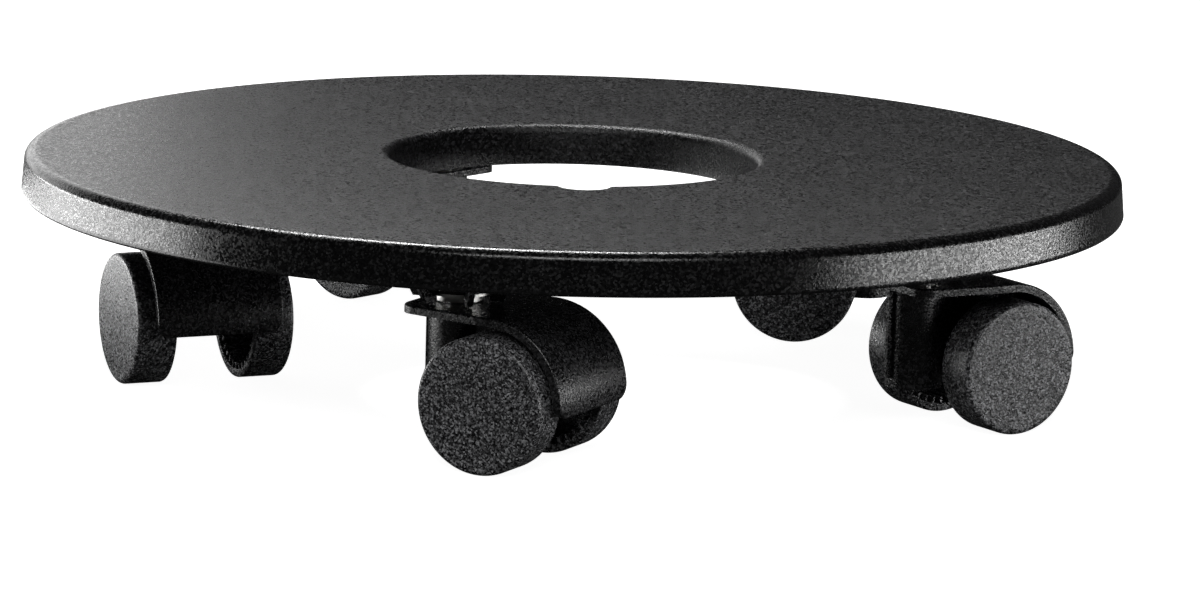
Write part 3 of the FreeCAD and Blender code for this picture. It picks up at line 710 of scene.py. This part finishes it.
# %% The deck tree
deck_tree = GeometryTree("moulded_deck", (
    ("Rim Path", "Object"), ("Rim Section", "Object"), ("Hole Path", "Object"),
    ("Hole Section", "Object"), ("Wall Path", "Object"), ("Wall Section", "Object"),
    ("Top Height", "Float"), ("Under Skin Height", "Float"), ("Foot Height", "Float"),
    ("Material", "Material")))
sweeps = deck_tree.node("GeometryNodeJoinGeometry", None, {0: [
    sweep_nodes(deck_tree, "Rim Path", "Rim Section"),
    sweep_nodes(deck_tree, "Hole Path", "Hole Section"),
    sweep_nodes(deck_tree, "Wall Path", "Wall Section")]})
position = deck_tree.node("GeometryNodeInputPosition")
elevation = deck_tree.node("ShaderNodeSeparateXYZ", None, {0: position}, "Z")
faces_beside = deck_tree.node("GeometryNodeInputMeshEdgeNeighbors", None, None, "Face Count")
SAME_LEVEL = 0.00001


def equal(first, second, slack):
    """1 where two values differ by no more than the slack."""
    return deck_tree.node("ShaderNodeMath", {"operation": "COMPARE"},
                          {0: first, 1: second, 2: slack})


def flat_fill(label):
    """Fill the space between the open edges that lie at a height."""
    target = deck_tree.given(label)
    open_edges = equal(elevation, target, SAME_LEVEL) * equal(faces_beside, 1.0, 0.1)
    loops = deck_tree.node("GeometryNodeMeshToCurve", None,
                           {"Mesh": sweeps, "Selection": open_edges})
    fill = deck_tree.node("GeometryNodeFillCurve", None, {"Curve": loops})
    lift = deck_tree.node("ShaderNodeCombineXYZ", None, {2: target})
    return deck_tree.node("GeometryNodeTransform", None, {"Geometry": fill, "Translation": lift})


whole_shell = deck_tree.node("GeometryNodeJoinGeometry", None, {0: [
    sweeps, flat_fill("Top Height"), flat_fill("Under Skin Height"), flat_fill("Foot Height")]})
deck_tree.finish(whole_shell)
print("tree:", deck_tree.tree.name)

# %% Make the shell
RIM_STEPS = 360
wall_profile = ((0, under_skin), (0, RIM_FOOT))
helpers = {
    "rim_path": line_object("rim_path", circle(DECK_RADIUS, RIM_STEPS), closed=True),
    "rim_section": line_object("rim_section", section_points(rim_profile, DECK_RADIUS)),
    "hole_path": line_object("hole_path", turned(hole_outline, NOTCH_ANGLE), closed=True),
    "hole_section": line_object("hole_section", section_points(hole_profile, 0)),
    "wall_path": line_object("wall_path", turned(wall_outline, NOTCH_ANGLE), closed=True),
    "wall_section": line_object("wall_section", section_points(wall_profile, 0)),
}
shell_mesh = run_tree(deck_tree.tree, "deck_shell", **helpers, top_height=DECK_TOP * MM,
                      under_skin_height=under_skin * MM, foot_height=RIM_FOOT * MM,
                      material=deck_plastic)
remove(*helpers.values())
deck_shell = mesh_object("deck_shell", tidy_mesh(shell_mesh))
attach(deck_shell, "base")
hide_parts("deck")
print("deck shell:", len(shell_mesh.polygons), "faces")

# %% [markdown]
# ## Ribs under the deck
# Thirty radial ribs and two rings stiffen the skin. A rib is a thin plate with
# eased edges, made once and repeated round the axis. Its ends stand inside the
# rim and the hole's wall, as they do in the moulding.

# %% Plates and ribs
RIB_COUNT = 30
RIB_THICKNESS = 1.8
RIB_FOOT = RIM_FOOT + 2.5
RIB_TOP = DECK_TOP - SKIN / 2
RING_RADII = (89.0, 146.0)
RING_STEPS = 144
EASE = 0.25                   # the edges of plates and rings are eased by this


def plate(name, outline, thickness, finish):
    """A flat plate standing in the XZ plane, with the edges of its two faces eased."""
    mesh = bpy.data.meshes.new(name)
    work = bmesh.new()
    corners = [work.verts.new((x * MM, -thickness / 2 * MM, z * MM)) for x, z in outline]
    face = work.faces.new(corners)
    grown = bmesh.ops.extrude_face_region(work, geom=[face])
    moved = [item for item in grown["geom"] if isinstance(item, bmesh.types.BMVert)]
    bmesh.ops.translate(work, verts=moved, vec=(0, thickness * MM, 0))
    bmesh.ops.recalc_face_normals(work, faces=work.faces)
    face_edges = [e for e in work.edges if abs(e.verts[0].co.y - e.verts[1].co.y) < NO_LENGTH]
    bmesh.ops.bevel(work, geom=face_edges, offset=EASE * MM, segments=1, affect="EDGES")
    work.to_mesh(mesh)
    work.free()
    mesh.materials.append(finish)
    return mesh_object(name, mesh)


RIB_START, RIB_END = HOLE_RADIUS + WALL / 2, DECK_RADIUS - WALL / 2 - LEAN
rib = plate("one_rib", ((RIB_START, RIB_FOOT), (RIB_END, RIB_FOOT),
                        (RIB_END, RIB_TOP), (RIB_START, RIB_TOP)), RIB_THICKNESS, deck_plastic)
first_tower = joints["caster_1_swivel"]["pos_m"]
FIRST_TOWER_ANGLE = math.degrees(math.atan2(first_tower[1], first_tower[0]))
ribs_mesh = repeated("deck_ribs", rib, RIB_COUNT, deck_plastic, first=FIRST_TOWER_ANGLE)
remove(rib)
print("ribs:", len(ribs_mesh.polygons), "faces")

# %% Ring ribs
rings = []
for radius in RING_RADII:
    inner, outer = radius - RIB_THICKNESS / 2, radius + RIB_THICKNESS / 2
    ring_profile = ((inner, RIB_TOP), (inner, RIB_FOOT + EASE), (inner + EASE, RIB_FOOT),
                    (outer - EASE, RIB_FOOT), (outer, RIB_FOOT + EASE), (outer, RIB_TOP),
                    (inner, RIB_TOP))
    rings.append(revolved(f"ring_{radius:.0f}", ring_profile, RING_STEPS, deck_plastic))
deck_ribs = joined("deck_ribs", [ribs_mesh, *rings], deck_plastic)
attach(deck_ribs, "base")
print("ribs and rings:", len(deck_ribs.data.polygons), "faces")

# %% [markdown]
# ## Caster towers
# Each caster hangs from a tower: a round boss with six gussets that spread out
# towards the skin. One tower is made, then the same tree repeats it five times.

# %% One tower
FLANGE_THICKNESS = 0.8        # the socket's flange lies under the boss
TOWER_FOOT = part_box("stem_socket_1")[0].z / MM + FLANGE_THICKNESS
BOSS_RADIUS, BOSS_CHAMFER, BOSS_STEPS = 9.6, 0.3, 64
BORE_RADIUS, BORE_DEPTH = 5.25, 16
GUSSET_COUNT, FIRST_GUSSET_ANGLE = 6, 30
GUSSET_FOOT = low.z / MM
GUSSET_ROOT, GUSSET_TIP = 19.8, 13.7
GUSSET_OVERLAP = 1.5          # a gusset's back stands this far inside the boss
GUSSET_HEEL = TOWER_FOOT + 0.4  # its back starts just above the boss's foot
boss = revolved("boss", (
    (0.0, RIB_TOP), (BOSS_RADIUS, RIB_TOP), (BOSS_RADIUS, TOWER_FOOT + BOSS_CHAMFER),
    (BOSS_RADIUS - BOSS_CHAMFER, TOWER_FOOT), (BORE_RADIUS, TOWER_FOOT),
    (BORE_RADIUS, TOWER_FOOT + BORE_DEPTH), (0.0, TOWER_FOOT + BORE_DEPTH)),
    BOSS_STEPS, deck_plastic)
gusset = plate("one_gusset", (
    (BOSS_RADIUS - BOSS_CHAMFER, GUSSET_FOOT), (GUSSET_TIP, GUSSET_FOOT), (GUSSET_ROOT, RIM_FOOT),
    (GUSSET_ROOT, RIB_TOP), (BOSS_RADIUS - GUSSET_OVERLAP, RIB_TOP),
    (BOSS_RADIUS - GUSSET_OVERLAP, GUSSET_HEEL), (BOSS_RADIUS - BOSS_CHAMFER, GUSSET_HEEL)),
    RIB_THICKNESS, deck_plastic)
gussets = repeated("gussets", gusset, GUSSET_COUNT, deck_plastic, first=FIRST_GUSSET_ANGLE)
remove(gusset)
tower = joined("one_tower", [boss, gussets], deck_plastic)
print("one tower:", len(tower.data.polygons), "faces")

# %% Five towers
CASTER_COUNT = 5
tower_circle = math.hypot(*first_tower[:2]) / MM
towers_mesh = repeated("deck_towers", tower, CASTER_COUNT, deck_plastic,
                       radius=tower_circle, first=FIRST_TOWER_ANGLE)
remove(tower)
deck_towers = mesh_object("deck_towers", tidy_mesh(towers_mesh))
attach(deck_towers, "base")
print("towers:", len(towers_mesh.polygons), "faces")

# %% [markdown]
# ## Wheels
# A wheel is a hollow cup: a closed, leather-grained face and tread, open towards
# the middle, with a hub and a ring of short ribs that stiffen the tread. The cup
# is swept, the ribs are repeated, and one mesh is placed ten times.

# %% One wheel
WHEEL_RADIUS = 19.99
FACE, INSIDE = 24.99, 12.5    # heights on the axle of the closed face and the open side
WHEEL_ROUND, WHEEL_ROUND_STEPS, WHEEL_STEPS = 1.3, 8, 112
TOOTH_COUNT, TOOTH_THICKNESS = 36, 1.1
TOOTH_START, TOOTH_END, TOOTH_FOOT, TOOTH_TOP = 15.7, 18.6, 13.2, 23.6
bore = [(0, 22.3), (3.05, 22.3), (3.05, INSIDE + 0.3), (3.3, INSIDE)]
hub = [(5.4, INSIDE), (5.6, INSIDE + 0.2), (5.6, 22.4), (6.0, 22.8)]
hollow = [(17.1, 22.8), (17.6, 22.3), (17.6, INSIDE + 0.15), (17.75, INSIDE)]
tread = [(19.5, INSIDE), (19.85, INSIDE + 0.15), (WHEEL_RADIUS, INSIDE + 0.5),
         (WHEEL_RADIUS, 18.0)]
edge = quarter((WHEEL_RADIUS - WHEEL_ROUND, FACE - WHEEL_ROUND), WHEEL_ROUND, WHEEL_ROUND,
               0, 90, WHEEL_ROUND_STEPS)
closed_face = [(WHEEL_RADIUS - 2.2, FACE), (8.0, FACE), (0, FACE)]
wheel_profile = bore + hub + hollow + tread + edge + closed_face
wheel_cup = revolved("wheel_cup", wheel_profile, WHEEL_STEPS, wheel_plastic)
tooth = plate("one_tooth", ((TOOTH_START, TOOTH_FOOT), (TOOTH_END, TOOTH_FOOT),
                            (TOOTH_END, TOOTH_TOP), (TOOTH_START, TOOTH_TOP)),
              TOOTH_THICKNESS, wheel_plastic)
teeth = repeated("teeth", tooth, TOOTH_COUNT, wheel_plastic)
remove(tooth)
one_wheel = joined("one_wheel", [wheel_cup, teeth], wheel_plastic)
print("one wheel:", len(one_wheel.data.polygons), "faces")

# %% Ten wheels in their places
upward = Vector((0, 0, 1))
for number in range(1, CASTER_COUNT + 1):
    for side in ("left", "right"):
        name = f"wheel_{number}_{side}"
        centre = Vector(joints[f"{name}_roll"]["pos_m"])
        box_low, box_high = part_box(name)
        outward = (box_low + box_high) / 2 - centre
        outward.z = 0
        outward.normalize()
        along = upward.cross(outward)
        axes = Matrix((along, outward.cross(along), outward)).transposed().to_4x4()
        mesh = one_wheel.data.copy()
        mesh.transform(Matrix.Translation(centre) @ axes)
        mesh.name = f"{name}_moulding"
        wheel = mesh_object(f"{name}_moulding", mesh)
        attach(wheel, name)
        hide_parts(name)
remove(one_wheel)
print("ten wheels placed")
